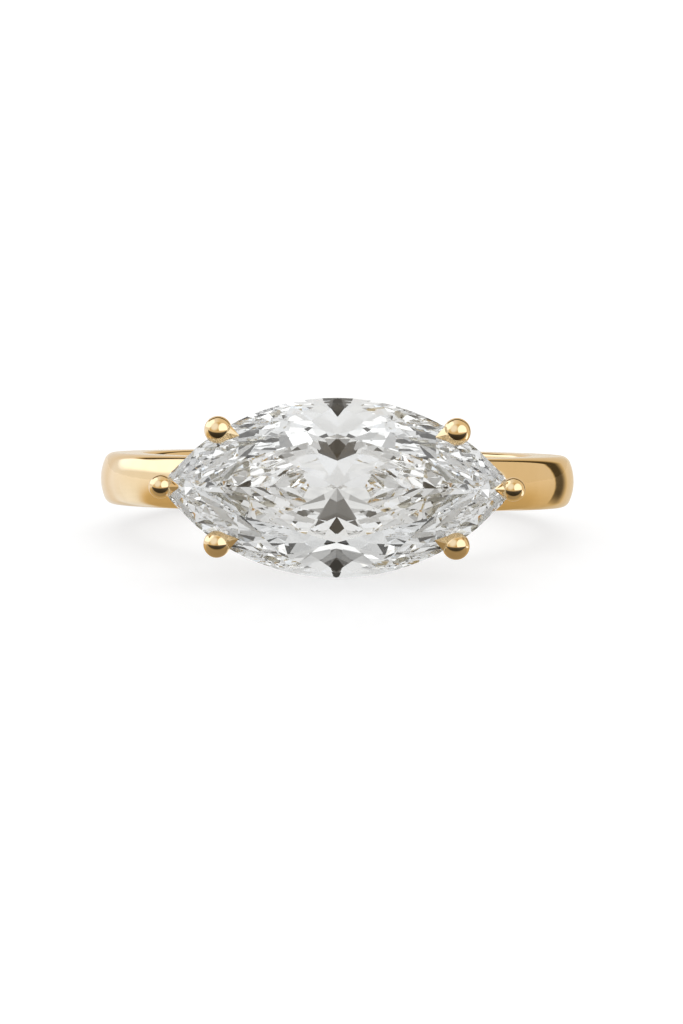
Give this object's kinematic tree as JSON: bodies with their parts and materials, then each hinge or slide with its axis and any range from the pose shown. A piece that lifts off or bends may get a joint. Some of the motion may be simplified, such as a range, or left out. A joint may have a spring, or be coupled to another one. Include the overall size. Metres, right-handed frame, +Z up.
{
  "type": "east west ring",
  "caption": "Finger ring with a plain polished band and a marquise stone set sideways in a claw basket, lying on its side.",
  "frame": {"origin": "middle of the box round the ring, on the surface that it lies on", "axes": "+Z up from the surface, -Y the way that the stone faces, +X along the stone's length"},
  "size_m": [0.0202, 0.025, 0.0073],
  "materials": {
    "gold": "polished yellow gold",
    "diamond": "clear, facets polished flat"
  },
  "bodies": {
    "root": {"setting": "gold", "stone": "diamond"}
  },
  "joints": []
}
